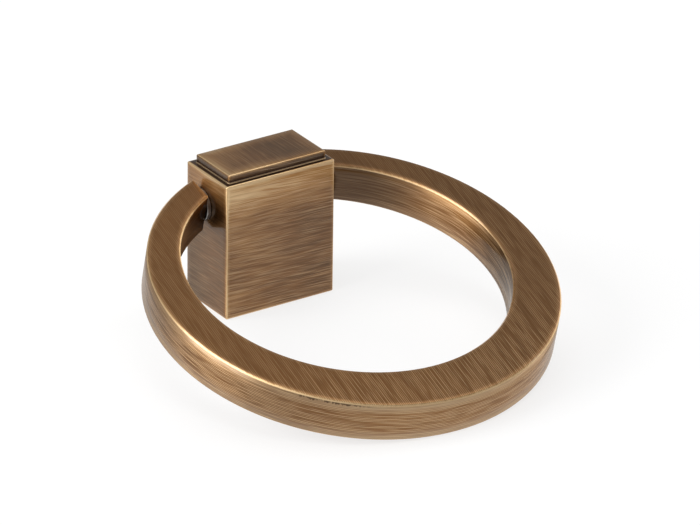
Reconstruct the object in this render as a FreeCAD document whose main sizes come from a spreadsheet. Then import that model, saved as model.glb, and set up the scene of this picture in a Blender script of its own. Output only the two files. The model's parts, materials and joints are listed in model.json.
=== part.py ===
import FreeCAD, Part
import math
import os

import Sketcher
from FreeCAD import Placement, Rotation, Vector

# Ring pull handle for a drawer or cabinet front, in millimetres.
# The origin is the middle of the post's mounting face and +Z points out of the drawer front.
# X is the pivot axis. At rest the ring slopes towards -Y until its rim meets the mounting plane.

# Driving dimensions
SIZES = {
    # The post is a block whose front steps up from a narrow ledge to a raised panel.
    "post_width": 23.5,
    "post_depth": 13.7,
    "shoulder_height": 26.9,
    "ledge_width": 1.2,
    "panel_rise": 1.6,
    "panel_foot_radius": 0.25,
    "post_edge_radius": 0.3,
    # The tapped hole takes the mounting screw.
    "screw_hole_diameter": 3.3,
    "screw_hole_depth": 12.0,
    "drill_point_angle": 118.0,
    # The ring is flat, broad at the pull end and narrow at the post.
    "ring_outer_diameter": 76.0,
    "ring_pull_width": 10.0,
    "ring_post_width": 5.0,
    "ring_thickness": 8.0,
    "ring_edge_chamfer": 0.3,
    # The pivot pin is held in the post, a little behind its middle, and turns in the ring's ends.
    "pivot_height": 20.4,
    "pivot_set_back": 1.5,
    "pin_diameter": 3.0,
    "pin_reach": 1.9,
    "pin_tip_chamfer": 0.3,
    "pin_grip_clearance": 0.01,
    "pin_running_clearance": 0.05,
    "pin_end_gap": 0.3,
    # The washers space the ring's ends from the post's sides.
    "washer_diameter": 6.4,
    "washer_thickness": 0.8,
    "washer_bore_clearance": 0.05,
    "washer_edge_chamfer": 0.1,
    "side_play": 0.05,
}


def size(name):
    """Return the expression that reads one driving dimension from the sheet."""
    return f"Sizes.{name}"


# Derived sizes, as expressions
OUTER_RADIUS = f"({size('ring_outer_diameter')} / 2)"
INNER_RADIUS = f"({OUTER_RADIUS} - ({size('ring_pull_width')} + {size('ring_post_width')}) / 2)"
INNER_SHIFT = f"(({size('ring_pull_width')} - {size('ring_post_width')}) / 2)"

# Half of the ring's open gap: the post, one washer on each side and the play beside it
HALF_GAP = f"({size('post_width')} / 2 + {size('washer_thickness')} + 2 * {size('side_play')})"

# Depth of the ring's end corners, measured from the outer circle's centre
OUTER_CORNER = f"sqrt({OUTER_RADIUS} ^ 2 - {HALF_GAP} ^ 2)"
INNER_CORNER = f"(sqrt({INNER_RADIUS} ^ 2 - {HALF_GAP} ^ 2) + {INNER_SHIFT})"

# The pivot axis passes through the middle of the ring's ends
PIVOT_OFFSET = f"(({OUTER_CORNER} + {INNER_CORNER}) / 2)"

# Resting slope: the chamfered rim of the ring's lower face touches the mounting plane
RIM_ARM = f"({PIVOT_OFFSET} + {OUTER_RADIUS} - {size('ring_edge_chamfer')})"
RIM_DROP = f"({size('ring_thickness')} / 2)"
RIM_REACH = f"sqrt({RIM_ARM} ^ 2 + {RIM_DROP} ^ 2)"
REST_SLOPE = f"asin({size('pivot_height')} / {RIM_REACH}) - atan({RIM_DROP} / {RIM_ARM})"

X_AXIS = Vector(1, 0, 0)
Z_AXIS = Vector(0, 0, 1)
ORIGIN = Vector(0, 0, 0)

doc = FreeCAD.newDocument("RingPull")


def make_sheet():
    """Write every driving dimension into the sheet under its own alias."""
    sheet = doc.addObject("Spreadsheet::Sheet", "Sizes")
    for row, (name, value) in enumerate(SIZES.items(), start=1):
        sheet.set(f"A{row}", name)
        sheet.set(f"B{row}", str(value))
        sheet.setAlias(f"B{row}", name)
    doc.recompute()


def make_body(label):
    body = doc.addObject("PartDesign::Body", label)
    body.Label = label
    return body


def add_sketch(body, name, role):
    """Add a sketch on one of the body's own origin planes."""
    planes = [plane for plane in body.Origin.OriginFeatures if plane.Role == role]
    sketch = body.newObject("Sketcher::SketchObject", name)
    sketch.AttachmentSupport = [(planes[0], "")]
    sketch.MapMode = "FlatFace"
    return sketch


def constrain(sketch, name, expression, *arguments):
    """Add one named dimension to a sketch and bind it to an expression."""
    index = sketch.addConstraint(Sketcher.Constraint(*arguments))
    sketch.renameConstraint(index, name)
    sketch.setExpression(f"Constraints.{name}", expression)


def add_circle(sketch, name, diameter):
    """Draw a circle round the sketch's origin."""
    circle = sketch.addGeometry(Part.Circle(ORIGIN, Z_AXIS, 2.0), False)
    sketch.addConstraint(Sketcher.Constraint("Coincident", circle, 3, -1, 1))
    constrain(sketch, name, diameter, "Diameter", circle, 4.0)


def add_rectangle(sketch, width, depth):
    """Draw a rectangle centred on the sketch's origin."""
    corners = [Vector(-5, -3, 0), Vector(5, -3, 0), Vector(5, 3, 0), Vector(-5, 3, 0)]
    sides = []
    for start, end in zip(corners, corners[1:] + corners[:1]):
        sides.append(sketch.addGeometry(Part.LineSegment(start, end), False))
    for first, second in zip(sides, sides[1:] + sides[:1]):
        sketch.addConstraint(Sketcher.Constraint("Coincident", first, 2, second, 1))
    for side, direction in zip(sides, ("Horizontal", "Vertical", "Horizontal", "Vertical")):
        sketch.addConstraint(Sketcher.Constraint(direction, side))
    sketch.addConstraint(Sketcher.Constraint("Symmetric", sides[0], 1, sides[1], 2, -1, 1))
    constrain(sketch, "width", width, "DistanceX", sides[0], 1, sides[0], 2, 10.0)
    constrain(sketch, "depth", depth, "DistanceY", sides[1], 1, sides[1], 2, 6.0)


def add_pad(body, name, sketch, length, symmetric=False):
    pad = body.newObject("PartDesign::Pad", name)
    pad.Profile = sketch
    pad.SideType = "Symmetric" if symmetric else "One side"
    pad.setExpression("Length", length)
    doc.recompute()
    return pad


def round_edges(body, name, feature, edges, radius):
    fillet = body.newObject("PartDesign::Fillet", name)
    fillet.Base = (feature, edges)
    fillet.setExpression("Radius", radius)
    doc.recompute()
    return fillet


def break_edges(body, name, feature, edges, width):
    chamfer = body.newObject("PartDesign::Chamfer", name)
    chamfer.Base = (feature, edges)
    chamfer.setExpression("Size", width)
    doc.recompute()
    return chamfer


def edges_where(feature, test):
    """Name the edges of a feature whose middle passes a test."""
    names = []
    for number, edge in enumerate(feature.Shape.Edges, start=1):
        middle = edge.valueAt((edge.FirstParameter + edge.LastParameter) / 2)
        if test(middle):
            names.append(f"Edge{number}")
    return names


def check_cut(before, feature):
    """Stop if a cut took no material away."""
    if feature.Shape.Volume > before.Shape.Volume - 0.1:
        raise RuntimeError(f"{feature.Name} cuts nothing")


def move_to_pivot(body):
    """Bring a body's own origin to the pivot axis."""
    body.setExpression("Placement.Base.y", size("pivot_set_back"))
    body.setExpression("Placement.Base.z", size("pivot_height"))


def make_post():
    body = make_body("post")
    outline = add_sketch(body, "PostOutline", "XY_Plane")
    add_rectangle(outline, size("post_width"), size("post_depth"))
    add_pad(body, "PostBlock", outline, size("shoulder_height"))

    # Raised front panel, drawn at the shoulder
    panel_outline = add_sketch(body, "PanelOutline", "XY_Plane")
    panel_outline.setExpression("AttachmentOffset.Base.z", size("shoulder_height"))
    panel_width = f"{size('post_width')} - 2 * {size('ledge_width')}"
    panel_depth = f"{size('post_depth')} - 2 * {size('ledge_width')}"
    add_rectangle(panel_outline, panel_width, panel_depth)
    panel = add_pad(body, "FrontPanel", panel_outline, size("panel_rise"))

    # Every outside edge is broken, then the panel's foot gets its small inside radius
    half_width = SIZES["post_width"] / 2 - 0.5 * SIZES["ledge_width"]
    half_depth = SIZES["post_depth"] / 2 - 0.5 * SIZES["ledge_width"]

    def on_foot(point):
        inside = abs(point.x) < half_width and abs(point.y) < half_depth
        return inside and abs(point.z - SIZES["shoulder_height"]) < 1e-4

    outside = edges_where(panel, lambda point: not on_foot(point))
    rounded = round_edges(body, "OutsideEdges", panel, outside, size("post_edge_radius"))
    foot = edges_where(rounded, on_foot)
    filleted = round_edges(body, "PanelFoot", rounded, foot, size("panel_foot_radius"))

    # Cross bore that grips the pivot pin
    bore_sketch = add_sketch(body, "PivotBoreOutline", "YZ_Plane")
    bore_sketch.setExpression("AttachmentOffset.Base.x", size("pivot_set_back"))
    bore_sketch.setExpression("AttachmentOffset.Base.y", size("pivot_height"))
    add_circle(bore_sketch, "bore", f"{size('pin_diameter')} + 2 * {size('pin_grip_clearance')}")
    bore = body.newObject("PartDesign::Pocket", "PivotBore")
    bore.Profile = bore_sketch
    bore.Type = "ThroughAll"
    bore.SideType = "Symmetric"
    doc.recompute()
    check_cut(filleted, bore)

    # Tapped blind hole in the mounting face, at its tapping size
    hole_sketch = add_sketch(body, "ScrewHoleCentre", "XY_Plane")
    add_circle(hole_sketch, "hole", size("screw_hole_diameter"))
    doc.recompute()
    hole = body.newObject("PartDesign::Hole", "ScrewHole")
    hole.Profile = hole_sketch
    hole.ThreadType = "None"
    hole.DepthType = "Dimension"
    hole.DrillPoint = "Angled"
    hole.DrillForDepth = False
    hole.Reversed = True
    hole.setExpression("Diameter", size("screw_hole_diameter"))
    hole.setExpression("Depth", size("screw_hole_depth"))
    hole.setExpression("DrillPointAngle", size("drill_point_angle"))
    doc.recompute()
    check_cut(bore, hole)
    return body


def draw_ring_outline(sketch):
    """Draw the open ring: an outer arc, an off-centre inner arc and the two flat ends."""
    outer_radius = SIZES["ring_outer_diameter"] / 2
    inner_radius = outer_radius - (SIZES["ring_pull_width"] + SIZES["ring_post_width"]) / 2
    inner_shift = (SIZES["ring_pull_width"] - SIZES["ring_post_width"]) / 2
    half_gap = SIZES["post_width"] / 2 + SIZES["washer_thickness"] + 2 * SIZES["side_play"]
    pivot_offset = outer_radius - SIZES["ring_post_width"]
    outer_centre = Vector(0, -pivot_offset, 0)
    inner_centre = outer_centre + Vector(0, inner_shift, 0)

    def open_arc(centre, radius):
        opening = math.acos(half_gap / radius)
        circle = Part.Circle(centre, Z_AXIS, radius)
        return Part.ArcOfCircle(circle, math.pi - opening, 2 * math.pi + opening)

    arcs = [open_arc(outer_centre, outer_radius), open_arc(inner_centre, inner_radius)]
    outer, inner = [sketch.addGeometry(arc, False) for arc in arcs]
    left_line = Part.LineSegment(arcs[0].StartPoint, arcs[1].StartPoint)
    right_line = Part.LineSegment(arcs[0].EndPoint, arcs[1].EndPoint)
    left, right = [sketch.addGeometry(line, False) for line in (left_line, right_line)]
    for end, arc_point in ((left, 1), (right, 2)):
        sketch.addConstraint(Sketcher.Constraint("Coincident", outer, arc_point, end, 1))
        sketch.addConstraint(Sketcher.Constraint("Coincident", inner, arc_point, end, 2))
        sketch.addConstraint(Sketcher.Constraint("Vertical", end))
    for arc in (outer, inner):
        sketch.addConstraint(Sketcher.Constraint("PointOnObject", arc, 3, -2))
    constrain(sketch, "outer_radius", OUTER_RADIUS, "Radius", outer, outer_radius)
    constrain(sketch, "inner_radius", INNER_RADIUS, "Radius", inner, inner_radius)
    constrain(sketch, "pivot_offset", PIVOT_OFFSET, "DistanceY", outer, 3, -1, 1, pivot_offset)
    constrain(sketch, "inner_shift", INNER_SHIFT, "DistanceY", outer, 3, inner, 3, inner_shift)
    constrain(sketch, "right_gap", HALF_GAP, "DistanceX", -1, 1, right, 1, half_gap)
    constrain(sketch, "left_gap", HALF_GAP, "DistanceX", left, 1, -1, 1, half_gap)


def make_ring():
    """Build the ring flat, with its own origin on the pivot axis, then tip it to its resting slope."""
    body = make_body("ring")
    outline = add_sketch(body, "RingOutline", "XY_Plane")
    draw_ring_outline(outline)
    flat_ring = add_pad(body, "RingBlank", outline, size("ring_thickness"), symmetric=True)
    every_edge = edges_where(flat_ring, lambda point: True)
    broken = break_edges(body, "RingEdges", flat_ring, every_edge, size("ring_edge_chamfer"))

    # Blind pivot bore in the right end, mirrored into the left end
    bore_sketch = add_sketch(body, "EndBoreOutline", "YZ_Plane")
    bore_sketch.setExpression("AttachmentOffset.Base.z", HALF_GAP)
    add_circle(bore_sketch, "bore", f"{size('pin_diameter')} + 2 * {size('pin_running_clearance')}")
    bore = body.newObject("PartDesign::Pocket", "EndBore")
    bore.Profile = bore_sketch
    bore.Type = "Length"
    bore.Reversed = True
    bore.setExpression("Length", f"{size('pin_reach')} + {size('pin_end_gap')}")
    doc.recompute()
    check_cut(broken, bore)
    mirrored = body.newObject("PartDesign::Mirrored", "BothEndBores")
    mirrored.Originals = [bore]
    mirrored.MirrorPlane = (bore_sketch.AttachmentSupport[0][0], [""])
    body.Tip = mirrored
    doc.recompute()
    check_cut(bore, mirrored)

    body.Placement = Placement(ORIGIN, Rotation(X_AXIS, 10))
    move_to_pivot(body)
    body.setExpression("Placement.Rotation.Angle", REST_SLOPE)
    return body


def make_pivot_pin():
    body = make_body("pivot_pin")
    outline = add_sketch(body, "PinOutline", "YZ_Plane")
    add_circle(outline, "pin", size("pin_diameter"))
    length = f"2 * ({HALF_GAP} + {size('pin_reach')})"
    rod = add_pad(body, "PinRod", outline, length, symmetric=True)
    tips = edges_where(rod, lambda point: is_end(rod, point))
    break_edges(body, "PinTips", rod, tips, size("pin_tip_chamfer"))
    move_to_pivot(body)
    return body


def is_end(feature, point):
    """Tell whether a point lies on one of a feature's two end faces along X."""
    box = feature.Shape.BoundBox
    return min(abs(point.x - box.XMin), abs(point.x - box.XMax)) < 1e-6


def make_washer(label, side):
    """Build one spacer washer; side is -1 for the left and 1 for the right."""
    body = make_body(label)
    outline = add_sketch(body, f"{label}_outline", "YZ_Plane")
    add_circle(outline, "rim", size("washer_diameter"))
    add_circle(outline, "bore", f"{size('pin_diameter')} + 2 * {size('washer_bore_clearance')}")
    disc = add_pad(body, f"{label}_disc", outline, size("washer_thickness"), symmetric=True)
    rim_reach = (SIZES["washer_diameter"] + SIZES["pin_diameter"]) / 4

    def on_rim(point):
        return math.hypot(point.y, point.z) > rim_reach and is_end(disc, point)

    break_edges(body, f"{label}_edges", disc, edges_where(disc, on_rim), size("washer_edge_chamfer"))
    middle = f"({size('post_width')} + {size('washer_thickness')}) / 2 + {size('side_play')}"
    body.setExpression("Placement.Base.x", f"{side} * ({middle})")
    move_to_pivot(body)
    return body


def write_parts(bodies):
    """Check every object of the document, then write each body to its own file."""
    doc.recompute()
    for item in doc.Objects:
        if "Invalid" in item.State or "Error" in item.State:
            raise RuntimeError(f"{item.Name} is in state {item.State}")
    os.makedirs("parts", exist_ok=True)
    for body in bodies:
        if body.Shape.isNull() or not body.Shape.isValid():
            raise RuntimeError(f"{body.Label} has no valid shape")
        body.Shape.exportStep(f"parts/{body.Label}.step")


make_sheet()
write_parts([
    make_post(),
    make_ring(),
    make_pivot_pin(),
    make_washer("washer_left", -1),
    make_washer("washer_right", 1),
])
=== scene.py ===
import json
import math
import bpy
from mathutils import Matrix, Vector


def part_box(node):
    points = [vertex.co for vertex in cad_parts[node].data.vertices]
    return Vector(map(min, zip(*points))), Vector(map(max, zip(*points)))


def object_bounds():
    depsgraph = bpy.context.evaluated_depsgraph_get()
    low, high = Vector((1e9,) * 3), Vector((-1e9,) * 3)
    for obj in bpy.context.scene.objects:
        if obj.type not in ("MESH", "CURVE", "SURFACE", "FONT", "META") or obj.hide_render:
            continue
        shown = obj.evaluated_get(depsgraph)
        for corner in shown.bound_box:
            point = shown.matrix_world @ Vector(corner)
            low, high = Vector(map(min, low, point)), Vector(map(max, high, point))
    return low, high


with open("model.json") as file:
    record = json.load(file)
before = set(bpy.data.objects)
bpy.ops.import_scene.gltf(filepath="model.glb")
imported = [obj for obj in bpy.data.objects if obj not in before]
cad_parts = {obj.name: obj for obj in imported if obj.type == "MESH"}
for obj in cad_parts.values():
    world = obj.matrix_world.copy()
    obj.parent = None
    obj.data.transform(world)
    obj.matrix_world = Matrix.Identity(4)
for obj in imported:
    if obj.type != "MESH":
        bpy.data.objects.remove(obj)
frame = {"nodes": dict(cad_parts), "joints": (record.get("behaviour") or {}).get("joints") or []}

from types import SimpleNamespace

import bpy
from mathutils import Matrix, Vector

# Ring pull handle in brushed, lacquered antique brass, on a white studio floor.
# The scene is in metres, and the node trees work in millimetres.

CAD_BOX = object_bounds()
PIVOT = Vector(frame["joints"][0]["pos_m"])
MM_PER_M = 1000.0

# Sizes of the part that the finish follows, in millimetres.
# The screw hole's depth takes in its drill point.
LEDGE_WIDTH = 1.2
PANEL_RISE = 1.6
RING_PULL_WIDTH = 10.0
RING_POST_WIDTH = 5.0
RING_THICKNESS = 8.0
RING_END_PLAY = 0.05
THREAD_PITCH = 0.7
SCREW_HOLE_RADIUS = 1.65
SCREW_HOLE_DEPTH = 13.0
SCREW_HOLE_MARGIN = 0.02

# A distance in millimetres that stands for no edge nearby
NO_EDGE = 99.0

# Antique brass by its tone, from a thick patina at 0 to bare metal at 1
BRASS_TONES = (
    (0.00, (0.050, 0.021, 0.006, 1.0)),
    (0.30, (0.128, 0.059, 0.018, 1.0)),
    (0.50, (0.221, 0.096, 0.026, 1.0)),
    (0.75, (0.460, 0.239, 0.084, 1.0)),
    (1.00, (0.880, 0.630, 0.340, 1.0)),
)
# Pale scratches with a painted glint, and the painted highlight at the panel's foot
BRASS_SCRATCH_AND_HIGHLIGHT = (0.640, 0.438, 0.240, 1.0)
# Pale wear, which on the ring's walls also stands for a painted highlight
BRASS_WORN_AND_HIGHLIGHT = (0.660, 0.500, 0.320, 1.0)
# Dark patina, and painted shade on the ledge round the post's panel
DARK_PATINA_AND_SHADE = (0.055, 0.026, 0.014, 1.0)
WHITE = (1.0, 1.0, 1.0, 1.0)

# In the finishes below, a span is where a smooth change starts and ends.
# Lengths are in millimetres, and noise scales in cycles per millimetre.
# A face counts as facing an axis where its normal's part along that axis is above facing.
# Brush lines are turned from the face's own axis by the slope grain_turn.

# Brush lines, wear, lacquer, and how far painted shade and a painted highlight cover the colour, that the
# post and the ring share
BRASS = SimpleNamespace(
    wave_scales=(0.05, 0.12),
    cloud_scales=(0.08, 0.15),
    jitter_scale=3.0,
    stroke_scale=1.9,
    strand_spread=40.0,
    hair_roughness=0.6,
    line_span=(0.25, 0.80),
    line_size=0.5,
    hair_tone=0.7,
    glint_span=(0.40, 0.78),
    ragged_edge=0.6,
    ragged_line=0.15,
    bare_span=(0.38, 0.05),
    worn_full=0.2,
    # How far the dark patina and painted shade cover the colour
    recess_cover=0.95,
    # How far the painted highlight at the panel's foot covers the colour
    highlight_cover=0.60,
    thread_depth=0.5,
    stroke_height=0.05,
    roughness=0.42,
    line_roughness=0.14,
    anisotropy=0.8,
    coat_roughness=0.14,
    coat_ior=1.5,
    specular_tint=(0.80, 0.70, 0.58, 1.0),
)

# Finish of the post, with heights from its shoulder
POST = SimpleNamespace(
    facing=0.7,
    grain_turn=0.046,
    face_seed=7.3,
    flat_seed=15.1,
    # Where the finish changes
    panel_foot=0.1,
    # Where painted shade over dark patina darkens the ledge and the panel wall's lower part
    ledge_span=(0.2, 0.5),
    shade_span=(1.0, 0.4),
    shade_foot=-0.4,
    # A painted highlight, a bright line at the panel's foot
    highlight_foot=0.02,
    highlight_top=0.20,
    left_start=6.0,
    right_span=(2.0, 11.0),
    back_span=(-3.0, 5.0),
    top_span=(-10.0, -1.0),
    top_hair_span=(-9.0, 0.0),
    # Tones and changes of tone
    side_tone=0.43,
    face_tone=0.47,
    flat_tone=0.40,
    top_change=0.34,
    left_change=0.12,
    right_change=-0.04,
    # Painted shade: darker towards the back of the narrow sides
    back_change=-0.16,
    panel_change=-0.54,
    flat_left_change=0.21,
    # Brush lines
    hair=0.24,
    face_hair=0.28,
    top_hair=0.2,
    side_stroke=0.25,
    face_stroke=0.07,
    flat_stroke=0.14,
    # Wear on the walls and on the flat faces
    wear=(0.20, 0.26),
    wear_reach=(0.9, 3.5),
)

# Finish of the ring, where u is across it, v runs from the pivot and w is through its thickness
RING = SimpleNamespace(
    facing=0.6,
    grain_turn=0.099,
    rim_depth=2.0,
    # Where the finish changes
    handled_span=(-45.0, -70.0),
    right_span=(8.0, 34.0),
    left_span=(-16.0, -36.0),
    left_share=0.6,
    post_span=(-18.0, -5.0),
    pull_span=(-24.0, -42.0),
    flat_left_span=(20.0, -20.0),
    flat_hair_span=(0.0, -20.0),
    inner_hair_span=(-22.0, -6.0),
    inner_pale_spans=((-4.0, -14.0), (-40.0, -26.0)),
    # Tones and changes of tone
    outer_tone=0.60,
    # The inner wall is darker than the outer: painted shade, partly a less handled patina
    inner_tone=0.50,
    flat_tone=0.35,
    # Painted shade: darker on the outer wall's flanks, and on the inner wall near the post and towards the
    # pull end
    flank_change=-0.36,
    post_change=-0.31,
    pull_change=-0.42,
    flat_left_change=0.11,
    handled_change=0.04,
    # Brush lines, and pale wear that on the ring's walls also stands for a painted highlight
    wall_hair=0.75,
    flank_hair=-0.35,
    inner_hair=-0.55,
    flat_hair=0.07,
    flat_front_hair=0.12,
    handled_hair=0.34,
    flat_glint=0.06,
    flat_glint_share=0.6,
    outer_pale=0.48,
    flank_pale=-0.30,
    inner_pale=0.15,
    flat_pale=0.10,
    # Values on the outer wall, the inner wall and the flat faces
    seed=(0.0, 11.9, 5.7),
    strands=(6.0, 9.0, 5.4),
    run=(0.16, 0.10, 0.15),
    jitter=(0.25, 0.25, 0.20),
    comb=(0.70, 0.0, 0.75),
    stroke=(0.04, 0.04, 0.02),
    cloud=(0.15, 0.15, 0.05),
    wear=(0.10, 0.10, 0.20),
    wear_reach=(2.5, 2.5, 1.2),
    soft=(0.93, 0.65, 0.10),
    soft_reach=(3.0, 3.0, 1.2),
)

# Small dark chips along the ring's rim, round a place on its arc
CHIPS = SimpleNamespace(
    arc=-26.0,
    reach_span=(9.0, 4.0),
    depth_span=(1.50, 1.25),
    edge_span=(0.24, 0.32),
    ragged_scale=2.5,
    ragged_depth=1.6,
    strength=0.8,
)

# Turned steel of the pin and washers
STEEL = SimpleNamespace(
    dark=(0.160, 0.155, 0.150, 1.0),
    pale=(0.460, 0.450, 0.440, 1.0),
    along_scale=6.0,
    round_scale=5.0,
    detail=3.0,
    line_roughness=0.6,
    line_share=0.6,
    spot_share=0.4,
    tone_span=(0.3, 0.7),
    roughness=0.28,
    roughness_change=0.2,
    line_height=0.01,
)

# The studio, with lengths in metres
FLOOR = SimpleNamespace(half_width=3.0, drop=0.0001, grey=0.27, glow=0.74, roughness=0.9)
STUDIO = SimpleNamespace(level=0.42, overhead_level=1.3, overhead_span=(0.84, 0.94))
LIGHT_TARGET = Vector((0.0, -0.03, 0.0))

# The photograph's camera
PHOTO_WIDTH_PX = 700.0
FOCAL_PX = 7358.1
SENSOR_WIDTH_MM = 36.0
VIEW_AZIMUTH = math.radians(-33.70)
VIEW_ELEVATION = math.radians(25.76)
VIEW_ROLL = math.radians(0.73)
VIEW_DISTANCE = 1.33866
VIEW_REACH = 20.0
VIEW_TARGET = Vector((0.00210, -0.02683, 0.01644))


class Tree:
    """Short forms for adding nodes to one node tree."""

    def __init__(self, tree):
        self.tree = tree

    def put(self, socket, value):
        """Link an input to a socket, or set it to a plain value."""
        if isinstance(value, bpy.types.NodeSocket):
            self.tree.links.new(value, socket)
        else:
            socket.default_value = value

    def add(self, kind, values=(), **settings):
        """Add a node, set its properties and fill its inputs by index or name."""
        node = self.tree.nodes.new(kind)
        for name, value in settings.items():
            setattr(node, name, value)
        for key, value in dict(values).items():
            self.put(node.inputs[key], value)
        return node

    def math(self, operation, first, second=0.0):
        return self.add("ShaderNodeMath", {0: first, 1: second}, operation=operation).outputs[0]

    def fold(self, operation, values):
        """Join several values by one operation."""
        result = values[0]
        for value in values[1:]:
            result = self.math(operation, result, value)
        return result

    def sum(self, *values):
        return self.fold("ADD", values)

    def minus(self, first, second):
        return self.math("SUBTRACT", first, second)

    def product(self, *values):
        return self.fold("MULTIPLY", values)

    def least(self, *values):
        return self.fold("MINIMUM", values)

    def size(self, value):
        """Return a value without its sign."""
        return self.math("ABSOLUTE", value)

    def over(self, value, limit):
        """Return 1 where a value is above a limit, and 0 elsewhere."""
        return self.math("GREATER_THAN", value, limit)

    def without(self, mask):
        """Return 1 where a mask is 0, and 0 where it is 1."""
        return self.minus(1.0, mask)

    def hypot(self, first, second):
        squares = self.sum(self.product(first, first), self.product(second, second))
        return self.math("SQRT", squares)

    def vector(self, x, y, z):
        return self.add("ShaderNodeCombineXYZ", {0: x, 1: y, 2: z}).outputs[0]

    def split(self, vector):
        return self.add("ShaderNodeSeparateXYZ", {0: vector}).outputs

    def choose(self, mask, off, on):
        """Mix two numbers by a mask."""
        return self.add("ShaderNodeMix", {0: mask, 2: off, 3: on}, data_type="FLOAT").outputs[0]

    def blend(self, mask, off, on):
        """Mix two colours by a mask."""
        return self.add("ShaderNodeMix", {0: mask, 6: off, 7: on}, data_type="RGBA").outputs[2]

    def turn_to(self, mask, off, on):
        """Mix two directions by a mask."""
        return self.add("ShaderNodeMix", {0: mask, 4: off, 5: on}, data_type="VECTOR").outputs[1]

    def ramp(self, value, start, end):
        """Rise smoothly from 0 to 1 as a value goes from start to end."""
        values = {"Value": value, "From Min": start, "From Max": end}
        return self.add("ShaderNodeMapRange", values, interpolation_type="SMOOTHSTEP").outputs[0]

    def rise(self, value, span, amount):
        """Go smoothly from 0 to an amount as a value crosses a span."""
        return self.product(self.ramp(value, *span), amount)

    def swing(self, noise, amount):
        """Turn a noise from 0 to 1 into a change to either side of zero."""
        return self.product(self.minus(noise, 0.5), amount)

    def colours(self, value, stops):
        """Look a colour up between stops, each a place from 0 to 1 and a colour."""
        node = self.add("ShaderNodeValToRGB", {0: value})
        elements = node.color_ramp.elements
        elements[0].color = stops[0][1]
        elements[1].color = stops[-1][1]
        for place, colour in stops[1:-1]:
            elements.new(place).color = colour
        return node.outputs[0]

    def noise(self, vector, detail=2.0, roughness=0.5):
        values = {"Vector": vector, "Scale": 1.0, "Detail": detail, "Roughness": roughness}
        return self.add("ShaderNodeTexNoise", values, normalize=True).outputs[0]

    def bump(self, height):
        """Return a normal that follows a height in millimetres."""
        values = {"Height": height, "Strength": 1.0, "Distance": 1.0 / MM_PER_M}
        return self.add("ShaderNodeBump", values).outputs[0]


def new_material(name):
    """Make a material and return it with its tree and its main shader."""
    material = bpy.data.materials.new(name)
    material.use_nodes = True
    shader = material.node_tree.nodes["Principled BSDF"]
    return material, Tree(material.node_tree), shader


def dress(node, material):
    """Give one CAD node its material."""
    for slot in frame["nodes"][node].material_slots:
        slot.material = material


def local_point(tree, matrix):
    """Return the point in millimetres, in a frame that the matrix leads into."""
    point = tree.add("ShaderNodeTexCoord").outputs["Object"]
    mapping = tree.add("ShaderNodeMapping", {"Vector": point}, vector_type="POINT")
    mapping.inputs["Scale"].default_value = (MM_PER_M, MM_PER_M, MM_PER_M)
    mapping.inputs["Rotation"].default_value = matrix.to_euler()
    mapping.inputs["Location"].default_value = matrix.to_translation() * MM_PER_M
    return tree.split(mapping.outputs[0])


def local_normal(tree, matrix):
    """Return the surface's normal, in a frame that the matrix leads into."""
    normal = tree.add("ShaderNodeTexCoord").outputs["Normal"]
    mapping = tree.add("ShaderNodeMapping", {"Vector": normal}, vector_type="VECTOR")
    mapping.inputs["Rotation"].default_value = matrix.to_euler()
    return tree.split(mapping.outputs[0])


# A described surface has these values, each a number or a socket:
# along and across, the place along and across the brush lines, in millimetres;
# seed, which gives each kind of face brush lines of its own;
# stretch, the direction in which the brush lines spread a highlight;
# edge, the distance to the nearest edge, in millimetres;
# strands, how many brush lines there are to a millimetre; run, how quickly they change along their length;
# wave and jitter, how far they stray; comb, how evenly light and dark ones take turns;
# hair and glint, how much they change the tone and how bright the bright ones are, pale scratches with a
# painted glint;
# stroke and cloud, how much broader streaks and patches change the tone;
# tone, the patina's own tone; wear and wear_reach, how much and how far it is thinner near an edge;
# pale and bare, how pale it is near an edge and how bare on it; on the ring's walls the pale wear also
# stands for a painted highlight;
# dark_patina_and_shade and painted_highlight, masks of dark patina with painted shade on the post's ledge,
# and of a painted highlight at the panel's foot;
# soft and soft_reach, how much lower the surface looks at an edge and how far from it that starts;
# thread, the height of the screw thread; coat, the weight of the lacquer.


def post_place(tree):
    """Return where a point of the post is, and which kinds of face it is on."""
    high = Vector(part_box("post")[1]) * MM_PER_M
    x, y, z = local_point(tree, Matrix())
    height = tree.minus(z, high.z - PANEL_RISE)
    facing = [tree.over(tree.size(part), POST.facing) for part in local_normal(tree, Matrix())]
    return SimpleNamespace(
        x=x,
        y=y,
        z=z,
        height=height,
        from_side=tree.minus(high.x, tree.size(x)),
        from_face=tree.minus(high.y, tree.size(y)),
        on_side=facing[0],
        on_face=facing[1],
        on_flat=facing[2],
        in_panel=tree.over(height, POST.panel_foot),
        to_left=tree.ramp(x, POST.left_start, -high.x),
    )


def post_edge(tree, at):
    """Return the distance to the nearest edge of the block or of its panel."""
    inset = tree.product(at.in_panel, LEDGE_WIDTH)
    top = tree.product(at.in_panel, PANEL_RISE)
    to_side = tree.sum(tree.minus(at.from_side, inset), tree.product(at.on_side, NO_EDGE))
    to_face = tree.sum(tree.minus(at.from_face, inset), tree.product(at.on_face, NO_EDGE))
    to_top = tree.sum(tree.minus(top, at.height), tree.product(at.on_flat, NO_EDGE))
    to_base = tree.sum(at.z, tree.product(at.on_flat, NO_EDGE), tree.product(at.in_panel, NO_EDGE))
    return tree.least(to_side, to_face, to_top, to_base)


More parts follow.
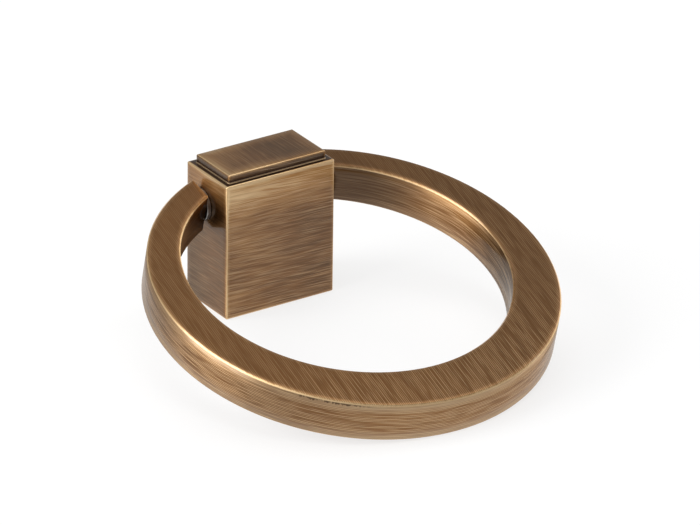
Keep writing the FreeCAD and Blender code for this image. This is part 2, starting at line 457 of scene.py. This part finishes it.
def post_ledge(tree, at):
    """Return masks of painted shade over dark patina on the ledge round the panel and the panel wall's lower
    part, and of a painted highlight, a bright line at the panel's foot.
    """
    inward = tree.ramp(tree.least(at.from_side, at.from_face), *POST.ledge_span)
    # Painted shade on the panel wall's lower part and on the ledge
    shade = tree.product(tree.ramp(at.height, *POST.shade_span), tree.over(at.height, POST.shade_foot))
    # A painted highlight on the foot of the panel wall
    foot = tree.product(tree.over(at.height, POST.highlight_foot), tree.over(POST.highlight_top, at.height))
    return tree.product(inward, shade), tree.product(inward, foot)


def post_tone(tree, at):
    """Return the tone of the post's patina, with painted shade towards the back of the narrow sides."""
    wall_tone = tree.sum(
        tree.choose(at.on_face, POST.side_tone, POST.face_tone),
        tree.rise(at.height, POST.top_span, POST.top_change),
        tree.product(at.in_panel, POST.panel_change),
        tree.product(at.on_face, at.to_left, POST.left_change),
        tree.product(at.on_face, tree.rise(at.x, POST.right_span, POST.right_change)),
        tree.product(at.on_side, tree.rise(at.y, POST.back_span, POST.back_change)),
    )
    flat_tone = tree.sum(POST.flat_tone, tree.product(at.to_left, POST.flat_left_change))
    return tree.choose(at.on_flat, wall_tone, flat_tone)


def post_thread(tree, at):
    """Return the height of the thread in the screw hole, which rises and falls once in each turn."""
    in_bore = tree.over(SCREW_HOLE_RADIUS + SCREW_HOLE_MARGIN, tree.hypot(at.x, at.y))
    in_hole = tree.product(in_bore, tree.over(SCREW_HOLE_DEPTH, at.z))
    turn = tree.product(tree.math("ARCTAN2", at.y, at.x), 1.0 / math.tau)
    helix = tree.sum(tree.product(at.z, 1.0 / THREAD_PITCH), turn)
    return tree.product(in_hole, tree.math("PINGPONG", helix, 0.5))


def post_surface(tree):
    """Describe the post: grain along X on the broad faces and along Y on the others."""
    at = post_place(tree)
    dark_patina_and_shade, painted_highlight = post_ledge(tree, at)
    face_hair = tree.sum(POST.face_hair, tree.rise(at.height, POST.top_hair_span, POST.top_hair))
    hair = tree.sum(POST.hair, tree.product(at.on_face, face_hair))
    wall_stroke = tree.sum(POST.side_stroke, tree.product(at.on_face, POST.face_stroke))
    return SimpleNamespace(
        along=tree.choose(at.on_face, at.y, tree.minus(at.x, tree.product(at.z, POST.grain_turn))),
        across=tree.choose(at.on_flat, tree.sum(at.z, tree.product(at.x, POST.grain_turn)), at.x),
        seed=tree.sum(tree.product(at.on_face, POST.face_seed), tree.product(at.on_flat, POST.flat_seed)),
        stretch=tree.vector(at.on_flat, 0.0, tree.without(at.on_flat)),
        edge=post_edge(tree, at),
        strands=9.0,
        run=0.16,
        wave=1.2,
        jitter=0.25,
        comb=0.0,
        hair=hair,
        glint=hair,
        stroke=tree.choose(at.on_flat, wall_stroke, POST.flat_stroke),
        cloud=0.30,
        tone=post_tone(tree, at),
        wear=tree.choose(at.on_flat, *POST.wear),
        wear_reach=tree.choose(at.on_flat, *POST.wear_reach),
        pale=0.06,
        bare=0.32,
        dark_patina_and_shade=dark_patina_and_shade,
        painted_highlight=painted_highlight,
        soft=0.15,
        soft_reach=1.4,
        thread=post_thread(tree, at),
        coat=0.72,
    )


def ring_matrix():
    """Return the change from the row frame to the ring's own frame, with its origin on the pivot."""
    faces = frame["nodes"]["ring"].data.polygons
    normal = max(faces, key=lambda face: face.area).normal
    slope = math.atan(-normal.y / normal.z)
    return Matrix.Rotation(-slope, 4, "X") @ Matrix.Translation(-PIVOT)


def ring_place(tree, matrix):
    """Return where a point of the ring is, its distance to each edge and which kind of face it is on."""
    outer_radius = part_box("ring")[1][0] * MM_PER_M
    inner_radius = outer_radius - (RING_PULL_WIDTH + RING_POST_WIDTH) / 2
    inner_shift = (RING_PULL_WIDTH - RING_POST_WIDTH) / 2
    half_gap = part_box("washer_right")[1][0] * MM_PER_M + RING_END_PLAY
    outer_corner = math.sqrt(outer_radius ** 2 - half_gap ** 2)
    inner_corner = math.sqrt(inner_radius ** 2 - half_gap ** 2) + inner_shift
    pivot_offset = (outer_corner + inner_corner) / 2

    u, v, w = local_point(tree, matrix)
    from_centre = tree.sum(v, pivot_offset)
    from_inner_centre = tree.minus(from_centre, inner_shift)
    in_pull_half = tree.over(0.0, from_centre)
    angle = tree.math("ARCTAN2", u, tree.product(from_centre, -1.0))
    to_outer = tree.minus(outer_radius, tree.hypot(u, from_centre))
    right = tree.ramp(u, *RING.right_span)
    left = tree.rise(u, RING.left_span, RING.left_share)
    return SimpleNamespace(
        u=u,
        v=v,
        w=w,
        arc=tree.product(angle, outer_radius),
        to_outer=to_outer,
        to_inner=tree.minus(tree.hypot(u, from_inner_centre), inner_radius),
        to_flat=tree.minus(RING_THICKNESS / 2, tree.size(w)),
        to_end=tree.sum(tree.minus(tree.size(u), half_gap), tree.product(in_pull_half, NO_EDGE)),
        on_flat=tree.over(tree.size(local_normal(tree, matrix)[2]), RING.facing),
        inside=tree.over(to_outer, RING.rim_depth),
        handled=tree.ramp(v, *RING.handled_span),
        flanks=tree.sum(right, left),
    )


def by_face(tree, at, values):
    """Choose between values for the ring's outer wall, its inner wall and its flat faces."""
    outer, inner, flat = values
    return tree.choose(at.on_flat, tree.choose(at.inside, outer, inner), flat)


def ring_tone(tree, at):
    """Return the tone of the ring's patina, with painted shade on the inner wall and on the outer wall's
    flanks.
    """
    outer = tree.sum(RING.outer_tone, tree.product(at.flanks, RING.flank_change))
    inner = tree.sum(
        RING.inner_tone,
        tree.rise(at.v, RING.post_span, RING.post_change),
        tree.rise(at.v, RING.pull_span, RING.pull_change),
    )
    flat = tree.sum(
        RING.flat_tone,
        tree.rise(at.u, RING.flat_left_span, RING.flat_left_change),
        tree.product(at.handled, RING.handled_change),
    )
    return by_face(tree, at, (outer, inner, flat))


def ring_hair(tree, at):
    """Return how much the ring's brush lines change its tone, and how bright the bright ones are."""
    outer = tree.sum(RING.wall_hair, tree.product(at.flanks, RING.flank_hair))
    inner = tree.sum(RING.wall_hair, tree.rise(at.v, RING.inner_hair_span, RING.inner_hair))
    flat = tree.sum(
        RING.flat_hair,
        tree.rise(at.v, RING.flat_hair_span, RING.flat_front_hair),
        tree.product(at.handled, RING.handled_hair),
    )
    flat_glint = tree.sum(tree.product(flat, RING.flat_glint_share), RING.flat_glint)
    return by_face(tree, at, (outer, inner, flat)), by_face(tree, at, (outer, inner, flat_glint))


def ring_pale_and_highlight(tree, at):
    """Return how pale the ring is near its edges: pale wear, which on the walls is also a painted highlight.
    """
    outer = tree.sum(RING.outer_pale, tree.product(at.flanks, RING.flank_pale))
    # A painted highlight along the middle of the inner wall
    middle = tree.product(*[tree.ramp(at.v, *span) for span in RING.inner_pale_spans])
    return by_face(tree, at, (outer, tree.product(middle, RING.inner_pale), RING.flat_pale))


def ring_chips(tree, at):
    """Return a mask of small dark chips under the upper edge of the ring's outer wall."""
    ragged = tree.noise(tree.vector(tree.product(at.arc, CHIPS.ragged_scale), at.w, 0.0))
    depth = tree.sum(at.to_flat, tree.product(ragged, CHIPS.ragged_depth))
    band = tree.product(tree.ramp(depth, *CHIPS.depth_span), tree.ramp(at.to_flat, *CHIPS.edge_span))
    near = tree.ramp(tree.size(tree.minus(at.arc, CHIPS.arc)), *CHIPS.reach_span)
    on_upper_rim = tree.product(tree.without(at.inside), tree.over(at.w, 0.0))
    return tree.product(band, near, on_upper_rim, CHIPS.strength)


def ring_surface(tree):
    """Describe the ring: straight grain on its flat faces and grain round its walls."""
    matrix = ring_matrix()
    at = ring_place(tree, matrix)
    hair, glint = ring_hair(tree, at)
    out_of_ring = matrix.to_3x3().inverted() @ Vector((0, 0, 1))
    across_ring = Vector((1, 0, 0))
    to_side = tree.choose(at.on_flat, at.to_flat, tree.least(at.to_outer, at.to_inner))
    return SimpleNamespace(
        along=tree.choose(at.on_flat, at.arc, tree.sum(at.v, tree.product(at.u, RING.grain_turn))),
        across=tree.choose(at.on_flat, at.w, tree.minus(at.u, tree.product(at.v, RING.grain_turn))),
        seed=by_face(tree, at, RING.seed),
        stretch=tree.turn_to(at.on_flat, out_of_ring, across_ring),
        edge=tree.least(to_side, at.to_end),
        strands=by_face(tree, at, RING.strands),
        run=by_face(tree, at, RING.run),
        wave=0.4,
        jitter=by_face(tree, at, RING.jitter),
        comb=by_face(tree, at, RING.comb),
        hair=hair,
        glint=glint,
        stroke=by_face(tree, at, RING.stroke),
        cloud=by_face(tree, at, RING.cloud),
        tone=ring_tone(tree, at),
        wear=by_face(tree, at, RING.wear),
        wear_reach=by_face(tree, at, RING.wear_reach),
        pale=ring_pale_and_highlight(tree, at),
        bare=0.42,
        dark_patina_and_shade=ring_chips(tree, at),
        painted_highlight=0.0,
        soft=by_face(tree, at, RING.soft),
        soft_reach=by_face(tree, at, RING.soft_reach),
        thread=0.0,
        coat=0.52,
    )


def drawn_out(tree, surface, scales, detail):
    """Return a noise with one scale along the brush lines and another across them."""
    along = tree.product(surface.along, scales[0])
    across = tree.product(surface.across, scales[1])
    return tree.noise(tree.vector(along, across, surface.seed), detail)


def brush_lines(tree, surface):
    """Return the fine lines and the broader strokes that brushing leaves on a surface."""
    wave = drawn_out(tree, surface, BRASS.wave_scales, detail=2.0)
    wavy = tree.sum(surface.across, tree.swing(wave, surface.wave))
    jitter = tree.noise(tree.vector(0.0, tree.product(wavy, BRASS.jitter_scale), surface.seed))
    across = tree.sum(wavy, tree.swing(jitter, surface.jitter))
    along = tree.product(surface.along, surface.run)

    # Each strand starts at a place of its own in the noise
    strand = tree.math("FLOOR", tree.product(across, surface.strands))
    chance = tree.add("ShaderNodeTexWhiteNoise", {"Vector": tree.vector(strand, surface.seed, 0.0)})
    spread = {0: chance.outputs["Color"], "Scale": BRASS.strand_spread}
    start = tree.split(tree.add("ShaderNodeVectorMath", spread, operation="SCALE").outputs[0])
    place = tree.vector(tree.sum(along, start[0]), start[1], start[2])
    hair = tree.noise(place, detail=1.0, roughness=BRASS.hair_roughness)

    # Strands that take turns, from -1 for dark to 1 for light, each as strong as its noise says
    turns = tree.minus(tree.product(tree.math("PINGPONG", strand, 1.0), 2.0), 1.0)
    lines = tree.sum(0.5, tree.product(turns, tree.ramp(hair, *BRASS.line_span), BRASS.line_size))
    stroke_place = tree.vector(along, tree.product(across, BRASS.stroke_scale), surface.seed)
    return tree.choose(surface.comb, hair, lines), tree.noise(stroke_place, detail=1.0)


def brass_colour(tree, surface, hair, stroke):
    """Return the colour of the patina, which handling has thinned towards the edges, with pale scratches
    partly painted as glint, pale wear that on the ring's walls is also a painted highlight, painted shade on
    the post's ledge and a painted highlight at the panel's foot.
    """
    cloud = drawn_out(tree, surface, BRASS.cloud_scales, detail=1.0)
    ragged = tree.sum(surface.edge, tree.swing(stroke, BRASS.ragged_edge))
    fine = tree.sum(surface.edge, tree.swing(stroke, BRASS.ragged_line))
    tone = tree.sum(
        surface.tone,
        tree.swing(stroke, surface.stroke),
        tree.swing(cloud, surface.cloud),
        tree.swing(hair, tree.product(surface.hair, BRASS.hair_tone)),
        tree.rise(ragged, (surface.wear_reach, 0.0), surface.wear),
        tree.rise(fine, BRASS.bare_span, surface.bare),
    )
    # Pale scratch lines, partly a painted glint
    glint = tree.rise(hair, BRASS.glint_span, surface.glint)
    # Pale wear, on the ring's walls also a painted highlight
    worn_and_highlight = tree.rise(ragged, (surface.wear_reach, BRASS.worn_full), surface.pale)
    # Dark patina, and painted shade on the post's ledge
    dark_patina_and_shade = tree.product(surface.dark_patina_and_shade, BRASS.recess_cover)
    # Painted highlight at the panel's foot
    painted_highlight = tree.product(surface.painted_highlight, BRASS.highlight_cover)
    colour = tree.colours(tone, BRASS_TONES)
    colour = tree.blend(glint, colour, BRASS_SCRATCH_AND_HIGHLIGHT)
    colour = tree.blend(worn_and_highlight, colour, BRASS_WORN_AND_HIGHLIGHT)
    colour = tree.blend(dark_patina_and_shade, colour, DARK_PATINA_AND_SHADE)
    return tree.blend(painted_highlight, colour, BRASS_SCRATCH_AND_HIGHLIGHT)


def brass(name, describe):
    """Make brushed antique brass under clear lacquer for a surface that a function describes."""
    material, tree, shader = new_material(name)
    surface = describe(tree)
    hair, stroke = brush_lines(tree, surface)

    # Height in millimetres: softened edges and the screw thread under the lacquer, and the grain
    share = tree.math("DIVIDE", surface.edge, surface.soft_reach)
    near = tree.math("MAXIMUM", tree.minus(1.0, share), 0.0)
    thread = tree.product(surface.thread, BRASS.thread_depth)
    form = tree.minus(thread, tree.product(near, near, surface.soft))
    grain = tree.sum(form, tree.product(stroke, surface.stroke, BRASS.stroke_height))

    stretch = {0: surface.stretch}
    tangent = tree.add("ShaderNodeVectorTransform", stretch, convert_from="OBJECT", convert_to="WORLD")
    tree.put(shader.inputs["Base Color"], brass_colour(tree, surface, hair, stroke))
    tree.put(shader.inputs["Normal"], tree.bump(grain))
    tree.put(shader.inputs["Coat Normal"], tree.bump(form))
    tree.put(shader.inputs["Tangent"], tangent.outputs[0])
    tree.put(shader.inputs["Roughness"], tree.sum(BRASS.roughness, tree.product(hair, BRASS.line_roughness)))
    shader.inputs["Metallic"].default_value = 1.0
    shader.inputs["Anisotropic"].default_value = BRASS.anisotropy
    shader.inputs["Coat Weight"].default_value = surface.coat
    shader.inputs["Coat Roughness"].default_value = BRASS.coat_roughness
    shader.inputs["Coat IOR"].default_value = BRASS.coat_ior
    shader.inputs["Specular Tint"].default_value = BRASS.specular_tint
    return material


def steel(name):
    """Make plain turned steel for the pin and washers."""
    material, tree, shader = new_material(name)
    x, y, z = local_point(tree, Matrix.Translation(-PIVOT))
    along = tree.product(x, STEEL.along_scale)
    outward = tree.product(tree.hypot(y, z), STEEL.round_scale)
    lines = tree.noise(tree.vector(along, outward, 0.0), STEEL.detail, STEEL.line_roughness)
    spots = tree.noise(tree.vector(x, y, z), STEEL.detail)
    tone = tree.sum(tree.product(lines, STEEL.line_share), tree.product(spots, STEEL.spot_share))
    colour = tree.blend(tree.ramp(tone, *STEEL.tone_span), STEEL.dark, STEEL.pale)
    roughness = tree.sum(STEEL.roughness, tree.product(lines, STEEL.roughness_change))
    tree.put(shader.inputs["Base Color"], colour)
    tree.put(shader.inputs["Roughness"], roughness)
    tree.put(shader.inputs["Normal"], tree.bump(tree.product(lines, STEEL.line_height)))
    shader.inputs["Metallic"].default_value = 1.0
    return material


def white_floor():
    """Make a matt floor that looks white to the camera and in reflections."""
    material, tree, shader = new_material("floor_white")
    shader.inputs["Base Color"].default_value = (FLOOR.grey, FLOOR.grey, FLOOR.grey, 1.0)
    shader.inputs["Roughness"].default_value = FLOOR.roughness
    shader.inputs["Specular IOR Level"].default_value = 0.0
    shader.inputs["Emission Color"].default_value = WHITE
    light_path = tree.add("ShaderNodeLightPath").outputs
    rays = [light_path[name] for name in ("Is Camera Ray", "Is Glossy Ray", "Is Transmission Ray")]
    tree.put(shader.inputs["Emission Strength"], tree.product(tree.fold("MAXIMUM", rays), FLOOR.glow))
    return material


def add_floor():
    """Add a plain white floor under the part."""
    half = FLOOR.half_width
    mesh = bpy.data.meshes.new("floor")
    corners = [(-half, -half, 0), (half, -half, 0), (half, half, 0), (-half, half, 0)]
    mesh.from_pydata(corners, [], [(0, 1, 2, 3)])
    mesh.materials.append(white_floor())
    floor = bpy.data.objects.new("floor", mesh)
    floor.location.z = CAD_BOX[0][2] - FLOOR.drop
    bpy.context.collection.objects.link(floor)


def add_softbox(name, place, width, power):
    """Add a square soft light that faces the part."""
    data = bpy.data.lights.new(name, "AREA")
    data.size = width
    data.energy = power
    light = bpy.data.objects.new(name, data)
    light.location = place
    light.rotation_euler = (LIGHT_TARGET - Vector(place)).to_track_quat("-Z", "Y").to_euler()
    bpy.context.collection.objects.link(light)


def add_world():
    """Surround the part with an even, pale studio that is brighter overhead."""
    world = bpy.data.worlds.new("studio")
    world.use_nodes = True
    bpy.context.scene.world = world
    tree = Tree(world.node_tree)
    background = world.node_tree.nodes["Background"]
    background.inputs["Color"].default_value = WHITE
    up = tree.split(tree.add("ShaderNodeTexCoord").outputs["Generated"])[2]
    overhead = tree.rise(up, STUDIO.overhead_span, STUDIO.overhead_level)
    tree.put(background.inputs["Strength"], tree.sum(STUDIO.level, overhead))


def add_camera():
    """Place the camera as the photograph shows the part."""
    data = bpy.data.cameras.new("photo_camera")
    data.sensor_width = SENSOR_WIDTH_MM
    data.lens = FOCAL_PX * SENSOR_WIDTH_MM / PHOTO_WIDTH_PX
    data.clip_end = VIEW_REACH
    camera = bpy.data.objects.new("photo_camera", data)
    level = math.cos(VIEW_ELEVATION)
    sideways = math.sin(VIEW_AZIMUTH) * level
    forwards = math.cos(VIEW_AZIMUTH) * level
    back = Vector((sideways, -forwards, math.sin(VIEW_ELEVATION)))
    camera.location = VIEW_TARGET + VIEW_DISTANCE * back
    turn = (-back).to_track_quat("-Z", "Y").to_matrix().to_4x4()
    camera.rotation_euler = (turn @ Matrix.Rotation(VIEW_ROLL, 4, "Z")).to_euler()
    bpy.context.collection.objects.link(camera)
    bpy.context.scene.camera = camera


dress("post", brass("post_antique_brass", post_surface))
dress("ring", brass("ring_antique_brass", ring_surface))
plain_steel = steel("turned_steel")
for piece in ("pivot_pin", "washer_left", "washer_right"):
    dress(piece, plain_steel)

add_floor()
add_softbox("key", place=(-1.1, 0.14, 0.50), width=0.9, power=13.0)
add_softbox("fill", place=(1.1, -0.12, 0.45), width=0.7, power=4.0)
add_world()
add_camera()
bpy.context.scene.view_settings.view_transform = "Standard"
